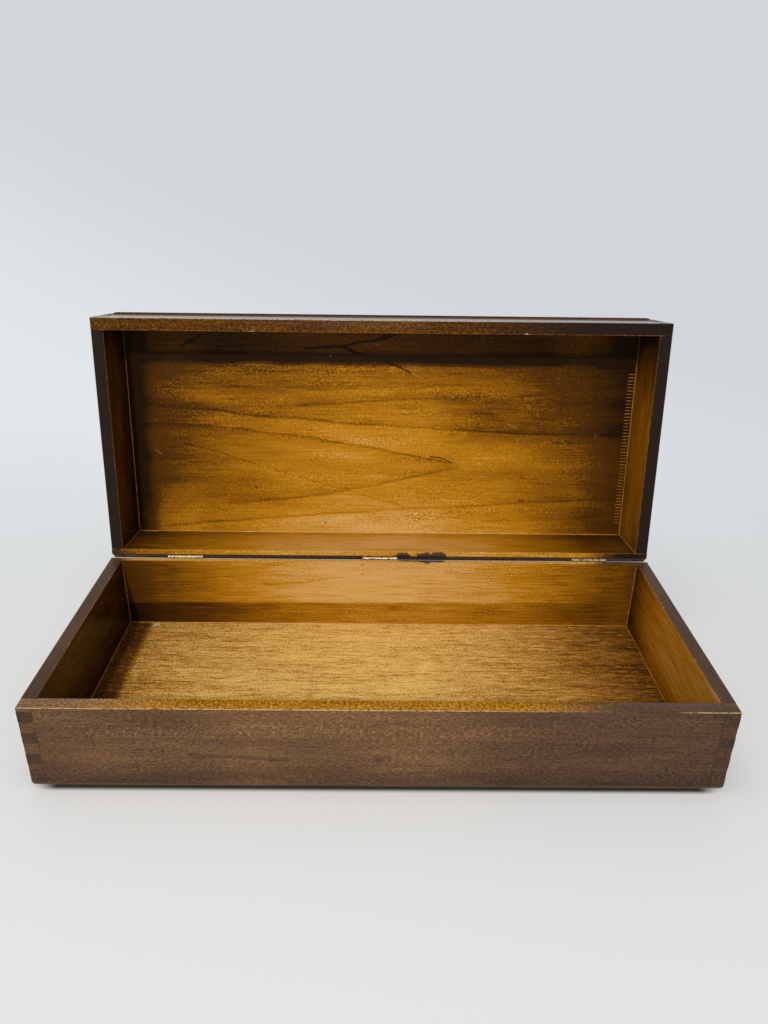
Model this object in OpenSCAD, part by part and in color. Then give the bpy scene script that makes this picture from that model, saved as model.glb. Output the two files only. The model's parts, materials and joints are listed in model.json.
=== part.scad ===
// Finger-jointed wooden storage box with a lid on three small brass hinges.
// The frames of base and lid come from one glued box that was sawn apart, so their corner fingers line up.
// Millimetres. The origin is the centre of the underside, the front faces -Y, and the lid is drawn open.

/* [Box] */
// Outside length, along X
box_len = 392; // [260:1:500]
// Outside depth, front to back
box_dep = 173; // [120:1:250]
// Height of the base, from the underside to its rim
base_h = 57.5; // [40:0.5:90]
// Height of the lid, from its rim to its top
lid_h = 50; // [32:0.5:80]

/* [Boards] */
// Thickness of the frame boards
board_t = 8.4; // [7.5:0.1:12]
// Thickness of the plywood bottom
bottom_t = 4.2; // [3:0.1:7]
// Thickness of the top board of the lid
top_t = 8; // [7:0.1:12]
// How far the top board stands proud of the lid's front board
front_lip = 1; // [0.2:0.1:3]
// Radius of the rounded edges round the underside and the top
edge_r = 6; // [2:0.1:6.5]
// Radius of the sanded corners of the top board, seen from above
corner_r = 5; // [2:0.1:8]

/* [Corner joints] */
// Height of one finger
finger_h = 7.2; // [5:0.1:12]
// Height of wood lost between base and lid when the box was sawn apart
saw_cut = 3; // [1:0.1:5]

/* [Hinges] */
// Angle through which the lid opens
open_angle = 98; // [92:1:104]
// Width of the 45 degree bevel along both hinge edges
bevel = 4.8; // [4.2:0.1:6.5]
// Gap between the two rims when the lid is down
rim_gap = 0.3; // [0.1:0.05:0.8]
// Length of a hinge
hinge_len = 25.4; // [16:0.1:40]
// Distance from the left end of the box to the middle of the left hinge
hinge_left_in = 53.7; // [30:0.1:80]
// Distance from the right end of the box to the middle of the right hinge
hinge_right_in = 42.7; // [30:0.1:80]
// Number of knuckles on a hinge
knuckles = 5; // [3:2:7]
// Outside radius of a knuckle
knuckle_r = 1.4; // [1.2:0.05:1.8]
// Radius of the hinge pin
pin_r = 0.75; // [0.5:0.05:0.9]
// Thickness of a hinge leaf
leaf_t = 1.1; // [0.6:0.05:1.3]
// Width of a hinge leaf, from the pin's axis to its free edge
leaf_w = 5.2; // [4.6:0.1:6.5]

/* [Hinge screws] */
// Radius of a screw's shank
shank_r = 0.75; // [0.5:0.05:0.9]
// Radius of a screw's head
head_r = 1.3; // [1.1:0.05:1.4]
// Length of a screw under its head
shank_len = 6; // [3:0.5:7]
// Distance from the middle of a hinge to each of its two screws
screw_out = 7.6; // [4:0.1:12]

/* [Hidden] */
$fn = 48;

// How far a cutter runs past the wood that it cuts
over = 2;

// Running clearances of the hinges
pin_clear = 0.03;
knuckle_side_clear = 0.06;
knuckle_round_clear = 0.1;
screw_clear = 0.05;
stop_clear = 0.04;

half_len = box_len / 2;
half_dep = box_dep / 2;
rim_z = base_h + rim_gap;
lid_frame_h = lid_h - top_t;
closed_h = rim_z + lid_h;

// Places along the run of fingers, measured from the foot of the frame before it was sawn apart
base_run = 0;
lid_run = base_h - bottom_t + saw_cut;

// A leaf's back lies this far from the pin's axis: its free edge then meets the other leaf's at the open stop
leaf_seat = max(leaf_t + leaf_w * sin((open_angle - 90) / 2) + stop_clear, knuckle_r + knuckle_round_clear);

// The pin's axis, placed so that the leaves lie flat on the bevels
axis_y = half_dep - bevel + leaf_seat * sqrt(2) - rim_gap / 2;
axis_z = base_h + rim_gap / 2;

// Place of a screw across its leaf, from the pin's axis
screw_in = (knuckle_r + leaf_w) / 2;
slot_w = 0.4;
slot_deep = 0.35;

hinge_x = [-half_len + hinge_left_in, 0, half_len - hinge_right_in];

knuckle_pitch = hinge_len / knuckles;

outside_stain = "#4a2f1f";
panel_amber = "#b97a1f";
ply_tan = "#b5813a";
brass = "#c9a24a";

// Turns what is drawn for the closed lid to the open lid
module opened() {
    translate([0, axis_y, axis_z])
        rotate([-open_angle, 0, 0])
            translate([0, -axis_y, -axis_z]) children();
}

// A bar that rounds an edge when it is cut away: the edge runs through the origin along X,
// and the wood lies towards +Y and +Z
module rounding_bar(run, r) {
    rotate([90, 0, 90])
        linear_extrude(height = run, center = true)
            difference() {
                translate([-over, -over]) square(r + over);
                translate([r, r]) circle(r);
            }
}

// Rounding bars for all four edges of a face of the given size, whose wood lies towards +Z
module rounded_rim_cut(len, dep, r) {
    for (side = [0, 1]) {
        mirror([0, side, 0])
            translate([0, -dep / 2, 0]) rounding_bar(len + 2 * over, r);
        mirror([side, 0, 0])
            translate([-len / 2, 0, 0]) rotate([0, 0, -90]) rounding_bar(dep + 2 * over, r);
    }
}

// The bevel on the hinge edge of a frame whose rim faces up at z = 0
module bevel_cut() {
    rotate([90, 0, 90])
        linear_extrude(height = box_len + 2 * over, center = true)
            polygon([
                [half_dep - bevel, 0], [half_dep + over, -bevel - over],
                [half_dep + over, over], [half_dep - bevel, over]
            ]);
}

// The bands of one kind of finger over a height of frame. Even bands belong to the end boards,
// odd ones to the front and back boards. The run says where on the fingers the height starts.
module finger_bands(first, run, tall, wide, deep) {
    last = ceil((run + tall) / finger_h / 2);
    for (k = [0 : last]) {
        low = (2 * k + first) * finger_h - run;
        from = max(low, -over);
        to = min(low + finger_h, tall + over);
        // a band that ends at a rim is cut past it
        foot = from <= 0 ? -over : from;
        head = to >= tall ? tall + over : to;
        if (to > 0 && from < tall)
            translate([-wide / 2, -deep / 2, foot]) cube([wide, deep, head - foot]);
    }
}

// The notches that the corner fingers of the other boards fill, at all four corners. They are as deep
// as a board is thick, and run past the board's inside face by the given distances.
module corner_notches(first, run, tall, past_x, past_y) {
    wide = board_t + past_x + over;
    deep = board_t + past_y + over;
    for (sx = [-1, 1], sy = [-1, 1])
        translate([sx * (half_len + over - wide / 2), sy * (half_dep + over - deep / 2), 0])
            finger_bands(first, run, tall, wide, deep);
}

// A front or back board: side is -1 at the front and 1 at the back
module long_board(side, run, tall) {
    difference() {
        translate([-half_len, side * (half_dep - board_t / 2) - board_t / 2, 0])
            cube([box_len, board_t, tall]);
        corner_notches(0, run, tall, 0, over);
    }
}

// An end board: side is -1 at the left and 1 at the right
module end_board(side, run, tall) {
    difference() {
        translate([side * (half_len - board_t / 2) - board_t / 2, -half_dep, 0])
            cube([board_t, box_dep, tall]);
        corner_notches(1, run, tall, over, 0);
    }
}

// Cuts the rounded underside and the bevel of the base
module base_shaped() {
    difference() {
        children();
        rounded_rim_cut(box_len, box_dep, edge_r);
        translate([0, 0, base_h]) bevel_cut();
    }
}

// Cuts the bevel of the lid, which hangs down from its rim when the lid is closed
module lid_bevelled() {
    difference() {
        children();
        translate([0, 0, rim_z]) mirror([0, 0, 1]) bevel_cut();
    }
}

// Places what is drawn for one leaf on its bevel. In it, +X runs along the pin from the middle
// of the hinge, +Y across the leaf from the pin's axis, and +Z out of the wood. The wood's face
// is at z = -leaf_seat.
module on_base_bevel(x) {
    translate([x, axis_y, axis_z]) rotate([-45, 0, 0]) children();
}

module on_lid_bevel(x) {
    opened() translate([x, axis_y, axis_z]) mirror([0, 0, 1]) rotate([-45, 0, 0]) children();
}

module along_pin(run, r) {
    rotate([0, 90, 0]) cylinder(h = run, r = r, center = true);
}

// A knuckle's middle, by its number from the left
function knuckle_x(k) = (k - (knuckles - 1) / 2) * knuckle_pitch;

// One leaf with its rolled knuckles: those numbered from first, two apart
module leaf(first) {
    others = 1 - first;
    difference() {
        union() {
            translate([-hinge_len / 2, 0, -leaf_seat]) cube([hinge_len, leaf_w, leaf_t]);
            for (k = [first : 2 : knuckles - 1])
                translate([knuckle_x(k), 0, 0]) {
                    along_pin(knuckle_pitch, knuckle_r);
                    // the roll runs out into the leaf
                    translate([-knuckle_pitch / 2, 0, -leaf_seat])
                        cube([knuckle_pitch, knuckle_r, leaf_seat - pin_r]);
                }
        }
        for (k = [others : 2 : knuckles - 1])
            translate([knuckle_x(k), 0, 0])
                along_pin(knuckle_pitch + 2 * knuckle_side_clear, leaf_seat + knuckle_round_clear);
        along_pin(hinge_len + 2 * over, pin_r + pin_clear);
        for (side = [-1, 1])
            translate([side * screw_out, screw_in, 0]) screw_hole();
    }
}

// Depth of a screw head's cone, which is cut at 90 degrees and fills most of the leaf's thickness
head_deep = min(head_r - shank_r, leaf_t * 0.8);

module screw_hole() {
    translate([0, 0, -leaf_seat - over])
        cylinder(h = leaf_t + 2 * over, r = shank_r + screw_clear);
    translate([0, 0, leaf_t - leaf_seat - head_deep])
        cylinder(h = head_deep + screw_clear, r1 = shank_r + screw_clear, r2 = head_r + 2 * screw_clear);
}

// A slotted countersunk screw, in the same frame as the leaf
module screw() {
    head_z = leaf_t - leaf_seat;
    tip = shank_r;
    difference() {
        union() {
            translate([0, 0, head_z - head_deep]) cylinder(h = head_deep, r1 = shank_r, r2 = head_r);
            translate([0, 0, head_z - shank_len + tip]) cylinder(h = shank_len - tip, r = shank_r);
            translate([0, 0, head_z - shank_len]) cylinder(h = tip, r1 = shank_r / 4, r2 = shank_r);
        }
        translate([-head_r - over, -slot_w / 2, head_z - slot_deep])
            cube([2 * (head_r + over), slot_w, slot_deep + over]);
    }
}

// The pilot hole of a screw, cut into the wood under the leaf
module pilot() {
    translate([0, 0, leaf_t - leaf_seat - shank_len - screw_clear])
        cylinder(h = shank_len + over, r = shank_r + screw_clear);
}

module at_screws() {
    for (side = [-1, 1])
        translate([side * screw_out, screw_in, 0]) children();
}

module base_front_board() {
    color(outside_stain)
        base_shaped() translate([0, 0, bottom_t]) long_board(-1, base_run, base_h - bottom_t);
}

module base_back_board() {
    color(outside_stain)
        difference() {
            base_shaped() translate([0, 0, bottom_t]) long_board(1, base_run, base_h - bottom_t);
            for (x = hinge_x) on_base_bevel(x) at_screws() pilot();
        }
}

module base_end_board(side) {
    color(outside_stain)
        base_shaped() translate([0, 0, bottom_t]) end_board(side, base_run, base_h - bottom_t);
}

module base_bottom_panel() {
    color(ply_tan)
        base_shaped() translate([-half_len, -half_dep, 0]) cube([box_len, box_dep, bottom_t]);
}

module lid_front_board() {
    color(outside_stain)
        opened() lid_bevelled() translate([0, 0, rim_z]) long_board(-1, lid_run, lid_frame_h);
}

module lid_back_board() {
    color(outside_stain)
        difference() {
            opened() lid_bevelled() translate([0, 0, rim_z]) long_board(1, lid_run, lid_frame_h);
            for (x = hinge_x) on_lid_bevel(x) at_screws() pilot();
        }
}

module lid_end_board(side) {
    color(outside_stain)
        opened() lid_bevelled() translate([0, 0, rim_z]) end_board(side, lid_run, lid_frame_h);
}

// The outline of the top board, with its sanded corners and the lip at the front
module top_outline() {
    dep = box_dep + front_lip;
    translate([0, -front_lip / 2])
        intersection() {
            square([box_len, dep], center = true);
            union() {
                square([box_len - 2 * corner_r, dep], center = true);
                square([box_len, dep - 2 * corner_r], center = true);
                for (sx = [-1, 1], sy = [-1, 1])
                    translate([sx * (half_len - corner_r), sy * (dep / 2 - corner_r)]) circle(corner_r);
            }
        }
}

module lid_top_board() {
    color(panel_amber)
        opened()
            difference() {
                translate([0, 0, closed_h - top_t]) linear_extrude(height = top_t) top_outline();
                translate([0, -front_lip / 2, closed_h])
                    mirror([0, 0, 1]) rounded_rim_cut(box_len, box_dep + front_lip, edge_r);
            }
}

module hinge_base_leaf(x) {
    color(brass) on_base_bevel(x) leaf(0);
}

module hinge_lid_leaf(x) {
    color(brass) on_lid_bevel(x) leaf(1);
}

module hinge_pin(x) {
    color(brass) translate([x, axis_y, axis_z]) along_pin(hinge_len, pin_r);
}

module base_hinge_screws() {
    color(brass) for (x = hinge_x) on_base_bevel(x) at_screws() screw();
}

module lid_hinge_screws() {
    color(brass) for (x = hinge_x) on_lid_bevel(x) at_screws() screw();
}

base_front_board();
base_back_board();
base_end_board(-1);  // base_left_board
base_end_board(1);  // base_right_board
base_bottom_panel();
lid_front_board();
lid_back_board();
lid_end_board(-1);  // lid_left_board
lid_end_board(1);  // lid_right_board
lid_top_board();
hinge_base_leaf(hinge_x[0]);  // hinge_left_base_leaf
hinge_base_leaf(hinge_x[1]);  // hinge_middle_base_leaf
hinge_base_leaf(hinge_x[2]);  // hinge_right_base_leaf
hinge_lid_leaf(hinge_x[0]);  // hinge_left_lid_leaf
hinge_lid_leaf(hinge_x[1]);  // hinge_middle_lid_leaf
hinge_lid_leaf(hinge_x[2]);  // hinge_right_lid_leaf
hinge_pin(hinge_x[0]);  // hinge_left_pin
hinge_pin(hinge_x[1]);  // hinge_middle_pin
hinge_pin(hinge_x[2]);  // hinge_right_pin
base_hinge_screws();
lid_hinge_screws();
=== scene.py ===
"""Finishes the wooden storage box: its stained and varnished boards, its hinges and the small
marks of its making and use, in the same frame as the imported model."""

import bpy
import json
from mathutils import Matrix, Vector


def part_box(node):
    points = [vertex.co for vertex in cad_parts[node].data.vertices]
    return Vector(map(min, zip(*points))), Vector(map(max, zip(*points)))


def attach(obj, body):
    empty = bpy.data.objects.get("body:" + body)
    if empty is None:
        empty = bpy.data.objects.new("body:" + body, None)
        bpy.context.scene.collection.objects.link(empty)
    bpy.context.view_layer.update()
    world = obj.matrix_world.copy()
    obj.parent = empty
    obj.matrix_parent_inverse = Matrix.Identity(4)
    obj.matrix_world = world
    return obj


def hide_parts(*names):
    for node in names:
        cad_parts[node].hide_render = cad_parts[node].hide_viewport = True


bl_info = {
    "name": "Finger-jointed storage box",
    "version": (1, 0, 0),
    "blender": (4, 5, 0),
    "location": "3D View > Sidebar > Box",
    "description": "Dresses a finger-jointed wooden box with a hinged lid",
    "category": "Object",
}

import json
import math

import bmesh
import bpy
from mathutils import Matrix, Vector

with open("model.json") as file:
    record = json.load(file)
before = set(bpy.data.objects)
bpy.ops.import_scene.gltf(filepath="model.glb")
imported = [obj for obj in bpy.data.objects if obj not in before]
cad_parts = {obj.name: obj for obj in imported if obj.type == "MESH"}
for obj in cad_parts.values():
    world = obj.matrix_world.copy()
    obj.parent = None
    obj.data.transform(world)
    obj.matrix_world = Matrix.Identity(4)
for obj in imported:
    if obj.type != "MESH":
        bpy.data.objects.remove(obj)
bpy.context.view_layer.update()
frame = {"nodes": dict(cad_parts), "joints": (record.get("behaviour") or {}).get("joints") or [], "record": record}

MM = 0.001


# The box's sizes, read from the frame, in millimetres


def node_corners(node):
    """A node's lowest and highest corners, in millimetres."""
    low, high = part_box(node)
    return low / MM, high / MM


hinge_joint = frame["joints"][0]
PIN = Vector(hinge_joint["pos_m"]) / MM
OPEN_ANGLE = math.radians(hinge_joint["range_deg"][1])

base_low, base_high = node_corners("base_front_board")
end_high = node_corners("base_left_board")[1]
floor_high = node_corners("base_bottom_panel")[1]

HALF_LEN = base_high.x
HALF_DEP = end_high.y
BASE_H = base_high.z
BOARD_T = base_high.y - base_low.y
FLOOR_Z = floor_high.z
RIM_GAP = 2 * (PIN.z - BASE_H)
RIM_Z = BASE_H + RIM_GAP


def closed(point):
    """Where a point of the open lid, in millimetres, lies once the lid is down."""
    return PIN + Matrix.Rotation(OPEN_ANGLE, 3, "X") @ (point - PIN)


PANEL_Z = min(closed(v.co / MM).z for v in frame["nodes"]["lid_top_board"].data.vertices)


class Value:
    """A socket of a node tree, with the usual arithmetic."""

    def __init__(self, sheet, socket):
        self.sheet = sheet
        self.socket = socket

    def math(self, operation, *others):
        return self.sheet.math(operation, self, *others)

    def __add__(self, other):
        return self.sheet.math("ADD", self, other)

    def __radd__(self, other):
        return self.sheet.math("ADD", other, self)

    def __sub__(self, other):
        return self.sheet.math("SUBTRACT", self, other)

    def __rsub__(self, other):
        return self.sheet.math("SUBTRACT", other, self)

    def __mul__(self, other):
        return self.sheet.math("MULTIPLY", self, other)

    def __truediv__(self, other):
        return self.sheet.math("DIVIDE", self, other)

    def __abs__(self):
        return self.sheet.math("ABSOLUTE", self)

    def least(self, other):
        return self.sheet.math("MINIMUM", self, other)

    def most(self, other):
        return self.sheet.math("MAXIMUM", self, other)

    def step(self, low, high):
        """0 up to low, 1 from high, and smooth between them."""
        return self.sheet.add(
            "ShaderNodeMapRange",
            {"interpolation_type": "SMOOTHSTEP", "clamp": True},
            {"Value": self, "From Min": low, "From Max": high, "To Min": 0.0, "To Max": 1.0},
        )

    def fall(self, low, high):
        """1 up to low, 0 from high, and smooth between them."""
        return 1 - self.step(low, high)

    def between(self, low, high, soft):
        """1 from low to high, and 0 a soft distance outside them."""
        return self.step(low - soft, low) * self.fall(high, high + soft)


class Sheet:
    """The node tree of one material."""

    def __init__(self, name):
        self.material = bpy.data.materials.new(name)
        self.material.use_nodes = True
        self.tree = self.material.node_tree
        self.tree.nodes.clear()

    def add(self, kind, settings, sockets, output=0):
        """Adds a node with its settings, or a ramp's stops, and the values or links of its sockets."""
        node = self.tree.nodes.new(kind)
        for name, setting in settings.items():
            if name == "stops":
                self.set_stops(node.color_ramp, setting)
            else:
                setattr(node, name, setting)
        for name, value in sockets.items():
            if isinstance(value, Value):
                self.tree.links.new(value.socket, node.inputs[name])
            else:
                node.inputs[name].default_value = value
        return Value(self, node.outputs[output])

    def set_stops(self, ramp, colours):
        """Spreads the colours evenly over a ramp."""
        while len(ramp.elements) < len(colours):
            ramp.elements.new(0.5)
        for index, colour in enumerate(colours):
            ramp.elements[index].position = index / (len(colours) - 1)
            ramp.elements[index].color = (*colour, 1)

    def math(self, operation, *values):
        return self.add("ShaderNodeMath", {"operation": operation}, dict(enumerate(values)))

    def vector(self, x, y, z):
        return self.add("ShaderNodeCombineXYZ", {}, {"X": x, "Y": y, "Z": z})

    def lumps(self, grain, seed, length, width, detail=2.0, roughness=0.55):
        """Noise round 0, whose lumps have the given length along the grain and width across it."""
        along, across, deep = grain
        where = self.vector(along / length + seed, across / width, deep / width)
        sockets = {"Vector": where, "Scale": 1.0, "Detail": detail, "Roughness": roughness}
        return self.add("ShaderNodeTexNoise", {"noise_dimensions": "3D"}, sockets) - 0.5

    def ramp(self, depth, colours):
        """The colour at a depth from 0 to 1 between evenly spread colours."""
        return self.add("ShaderNodeValToRGB", {"stops": colours}, {"Fac": depth})

    def blend(self, first, second, share):
        """Blends two colours by a share from 0 to 1."""
        first, second = [c if isinstance(c, Value) else (*c, 1) for c in (first, second)]
        settings = {"data_type": "RGBA", "clamp_factor": True}
        return self.add("ShaderNodeMix", settings, {0: share, 6: first, 7: second}, 2)

    def place(self, body):
        """The three coordinates of a point in millimetres, with the lid's taken as if it were down."""
        where = self.add("ShaderNodeTexCoord", {}, {}, "Object")
        if body == "lid":
            turn = Matrix.Rotation(OPEN_ANGLE, 3, "X")
            shift = (PIN - turn @ PIN) * MM
            sockets = {"Vector": where, "Location": shift, "Rotation": (OPEN_ANGLE, 0, 0)}
            where = self.add("ShaderNodeMapping", {"vector_type": "POINT"}, sockets)
        where = self.add("ShaderNodeVectorMath", {"operation": "SCALE"}, {0: where, "Scale": 1 / MM})
        split = self.add("ShaderNodeSeparateXYZ", {}, {0: where})
        return [Value(self, output) for output in split.socket.node.outputs]

    def finish(self, colour, rough, height=None, depth=0.0, sheen=0.25, metal=0.0):
        """Closes the tree with a surface; the height is in units of the given depth in metres."""
        colour = colour if isinstance(colour, Value) else (*colour, 1)
        sockets = {"Base Color": colour, "Roughness": rough, "Metallic": metal}
        sockets["Specular IOR Level"] = sheen
        if height is not None:
            bump = {"Height": height, "Distance": depth, "Strength": 1.0}
            sockets["Normal"] = self.add("ShaderNodeBump", {}, bump)
        shader = self.add("ShaderNodeBsdfPrincipled", {}, sockets)
        self.surface = shader
        self.out = self.tree.nodes.new("ShaderNodeOutputMaterial")
        self.tree.links.new(shader.socket, self.out.inputs["Surface"])
        return self.material

    def cover(self, shader, share):
        """Covers a share of the finished surface with another."""
        mixed = self.add("ShaderNodeMixShader", {}, {0: share, 1: self.surface, 2: shader})
        self.tree.links.new(mixed.socket, self.out.inputs["Surface"])


def colour_property(label, default, words):
    return bpy.props.FloatVectorProperty(
        name=label, description=words, default=default, subtype="COLOR", size=3, min=0.0, max=1.0
    )


def length_property(label, default, words):
    return bpy.props.FloatProperty(
        name=label, description=words, default=default, min=0.0, subtype="DISTANCE", unit="LENGTH"
    )


def angle_property(label, default, words):
    return bpy.props.FloatProperty(
        name=label, description=words, default=math.radians(default), subtype="ANGLE", unit="ROTATION"
    )


def power_property(label, default, words):
    return bpy.props.FloatProperty(name=label, description=words, default=default, min=0.0, unit="POWER")


class BoxFinish(bpy.types.PropertyGroup):
    """Colours of the stain and the varnish."""

    amber_pale: colour_property("Palest amber", (0.700, 0.415, 0.135), "Varnish inside, at its thinnest")
    amber_light: colour_property("Light amber", (0.540, 0.238, 0.010), "Varnish inside, a quarter as deep")
    amber: colour_property("Amber", (0.300, 0.115, 0.0035), "Varnish inside, half as deep")
    # The deeper amber tones also show the shade painted towards the ends, corners and feet of the inside.
    amber_deep: colour_property("Deep amber", (0.103, 0.036, 0.0028), "Varnish inside, near the edges")
    amber_dark: colour_property("Darkest amber", (0.018, 0.0083, 0.0022), "Varnish inside, in the corners")
    stain_light: colour_property("Light stain", (0.330, 0.186, 0.072), "Stain outside, on pale fibres")
    stain: colour_property("Stain", (0.170, 0.086, 0.034), "Stain outside, a third as deep")
    stain_deep: colour_property("Deep stain", (0.076, 0.037, 0.019), "Stain outside, two thirds as deep")
    stain_dark: colour_property("Darkest stain", (0.019, 0.0115, 0.009), "Stain outside, in the end grain")
    ply_pale: colour_property("Palest plywood", (1.000, 0.660, 0.210), "Varnished bottom, at its palest")
    ply_light: colour_property("Light plywood", (0.800, 0.490, 0.130), "Bottom, a quarter as deep")
    ply: colour_property("Plywood", (0.480, 0.222, 0.034), "Bottom, half as deep")
    ply_deep: colour_property("Deep plywood", (0.200, 0.075, 0.008), "Bottom, near its right end")
    ply_dark: colour_property("Darkest plywood", (0.045, 0.016, 0.004), "Bottom, in its pores")
    bare: colour_property("Bare wood", (0.640, 0.460, 0.250), "Wood bared by wear")
    scorch: colour_property("Old glue", (0.034, 0.021, 0.020), "Dark torn patch beside the middle hinge")
    brass: colour_property("Brass", (0.520, 0.430, 0.280), "Leaves and screws of the hinges")
    steel: colour_property("Steel", (0.420, 0.400, 0.370), "Pins of the hinges")
    ease: length_property("Eased edge", 0.00035, "Width of the eased edges of the boards")
    bead: length_property("Bead", 0.00050, "Radius of the bead of varnish in the corners")
    tick: length_property("Tick", 0.0060, "Length of the tool marks beside the lid's right wall")
    tick_step: length_property("Tick spacing", 0.0024, "Distance between the tool marks")


class BoxStage(bpy.types.PropertyGroup):
    """Camera, lamps and backdrop."""

    lens: bpy.props.FloatProperty(name="Lens", description="Focal length", default=27.61, unit="CAMERA")
    pitch: angle_property("Pitch", 25.272, "How far the camera looks down")
    yaw: angle_property("Yaw", -0.556, "How far the camera turns to the left")
    roll: angle_property("Roll", 0.765, "How far the camera leans")
    eye: bpy.props.FloatVectorProperty(
        name="Eye", description="Place of the camera", default=(-0.0025, -0.4232, 0.3347), unit="LENGTH"
    )
    key_power: power_property("Key", 38.0, "Power of the main lamp")
    low_power: power_property("Low", 14.0, "Power of the low lamp")
    top_power: power_property("Top", 5.5, "Power of the wide lamp overhead")
    sky: bpy.props.FloatProperty(name="Sky", description="Strength of the light all round", default=0.30)
    paper_near: colour_property("Near paper", (0.91, 0.918, 0.92), "Paper under and in front of the box")
    paper_side: colour_property("Side paper", (0.760, 0.800, 0.825), "Paper seen beside the box")
    paper_far: colour_property("Far paper", (0.645, 0.662, 0.695), "Paper seen behind the box")


def stroke(u, v, points, width):
    """1 along a drawn line through the points, 0 a width away from it."""
    nearest = None
    for (u0, v0), (u1, v1) in zip(points, points[1:]):
        run = max((u1 - u0) ** 2 + (v1 - v0) ** 2, 1e-6)
        along = ((u - u0) * ((u1 - u0) / run) + (v - v0) * ((v1 - v0) / run)).most(0.0).least(1.0)
        du = u - u0 - along * (u1 - u0)
        dv = v - v0 - along * (v1 - v0)
        far = (du * du + dv * dv).math("SQRT")
        nearest = far if nearest is None else nearest.least(far)
    return nearest.fall(0.0, width)


def amber(sheet, finish, depth):
    """The varnished wood inside, from its palest at depth 0 to nearly black at depth 1; the depth carries painted
    shade as well as the varnish.
    """
    tones = (finish.amber_pale, finish.amber_light, finish.amber, finish.amber_deep, finish.amber_dark)
    return sheet.ramp(depth, tones)


def stained(sheet, finish, depth):
    """The stained wood outside, from its palest fibres at depth 0 to its darkest at depth 1."""
    return sheet.ramp(depth, (finish.stain_light, finish.stain, finish.stain_deep, finish.stain_dark))


# Sizes of what the grain is made of, in millimetres along it and across it
CLOUDS = (60.0, 13.0)
STREAKS = (30.0, 1.15)
PATCHES = (38.0, 9.0)
LINES = (150.0, 5.0)
BANDS = (80.0, 8.0)
WANDER = (12.0, 5.0)
DASHES = (2.2, 0.58)
SPECK_LENGTH = 1.5
DASH_TURN = 2.0


class Wood:
    """The grain of one board, which its outside, its inside and its rim share."""

    def __init__(self, sheet, grain, seed, grit=1.0):
        self.sheet = sheet
        self.grain = grain
        self.seed = seed
        self.clouds = sheet.lumps(grain, seed, *CLOUDS, 3.0)
        self.streaks = sheet.lumps(grain, seed + 3, *STREAKS, 3.0)
        self.specks = sheet.lumps(grain, seed + 9, SPECK_LENGTH, grit)

    def relief(self):
        """How high the fibres stand."""
        return self.specks * 0.6 + self.streaks * 0.6

    def inside(self, gain=1.0, streak=0.66):
        """How much deeper the varnish looks from place to place."""
        lines = self.sheet.lumps(self.grain, self.seed + 5, *LINES)
        patches = self.sheet.lumps(self.grain, self.seed + 6, *PATCHES).step(-0.10, 0.16)
        fine = self.streaks * streak + self.specks * (patches * 0.50 + 0.32)
        fine = fine + abs(lines).fall(0.0, 0.018) * self.streaks.step(-0.12, 0.10) * 0.10
        return self.clouds * 0.42 + fine * gain

    def outside(self, home=None):
        """How much deeper the stain looks: short dashes that turn to and fro in bands."""
        along, across, deep = self.grain
        bands = self.sheet.lumps(self.grain, self.seed + 1, *BANDS).step(-0.06, 0.12) * 0.65
        if home is not None:
            bands = bands.most(home)
        wander = self.sheet.lumps(self.grain, self.seed + 2, *WANDER)
        sway = (along / DASH_TURN + wander * 4).math("PINGPONG", 1.0)
        leaning = (along, across + sway * (bands * 1.4 + 0.10), deep)
        dashes = self.sheet.lumps(leaning, self.seed + 8, *DASHES, 2.0)
        light = dashes.step(0.0, 0.15)
        dark = dashes.fall(-0.18, -0.03)
        depth = self.clouds * 0.45 + self.streaks * 0.35
        return depth - light * (bands * 0.20 + 0.16) + dark * 0.25


# How far from the middle of a long or a short face its painted shade has its full depth, in millimetres
LONG_REACH = 112.0
SHORT_REACH = 70.0


def burst(along, left, right, reach=LONG_REACH):
    """Depth that grows towards both ends of a face, by the given depths at the reach; inside the box it is painted
    shade, partly a sunburst finish.
    """
    away = along / reach
    leftward = (away * -1).most(0.0)
    rightward = away.most(0.0)
    return leftward * leftward * left + rightward * rightward * right


def soft_limit(depth, limit, share):
    """Takes a share off what a depth has above a limit."""
    return depth - (depth - limit).most(0.0) * share


# Depth of the varnish inside each board: in the middle, added towards its two ends, and at its foot
# The depths added towards the ends and the foot are painted shade, partly a sunburst finish, and the deep middles
# of the left walls are painted shade, as those walls face away from the lamps.
INSIDE = {
    ("base", "front"): (0.40, 0.20, 0.20, 0.10),
    ("base", "back"): (0.01, 0.35, 0.30, 0.00),
    ("base", "left"): (0.88, 0.05, 0.05, 0.05),
    ("base", "right"): (0.22, 0.00, 0.50, 0.24),
    ("lid", "front"): (0.50, 0.20, 0.20, 0.10),
    ("lid", "back"): (0.08, 0.27, 0.33, 0.14),
    ("lid", "left"): (0.80, 0.10, 0.10, 0.10),
    ("lid", "right"): (0.46, 0.45, 0.00, 0.05),
}

# Where the rims of the long boards are rubbed golden, from left to right, how softly it ends and
# how deep the gold is
RUBBED = {
    ("base", "front"): (-122.0, 80.0, 56.0, 0.36),
    ("base", "back"): (-176.0, 150.0, 16.0, 0.14),
    ("lid", "front"): (-166.0, 40.0, 110.0, 0.80),
    ("lid", "back"): (-170.0, 146.0, 30.0, 0.17),
}

# Chips along the inner edges of the rims, from one place to the next along the board
CHIPS = {
    ("base", "front"): (
        (-187.0, -183.5), (-157.0, -146.8), (-125.5, -123.5), (-114.6, -111.8), (-94.5, -91.0)
    ),
    ("base", "right"): ((-77.0, -68.0), (20.0, 62.0), (-40.0, -37.0)),
    ("base", "left"): ((-30.0, -26.0), (52.0, 57.0)),
    ("lid", "front"): ((-89.0, -86.0), (96.0, 99.0)),
    ("lid", "back"): ((-134.0, -130.0), (74.0, 78.0), (98.0, 104.0), (124.0, 133.0)),
}

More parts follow.
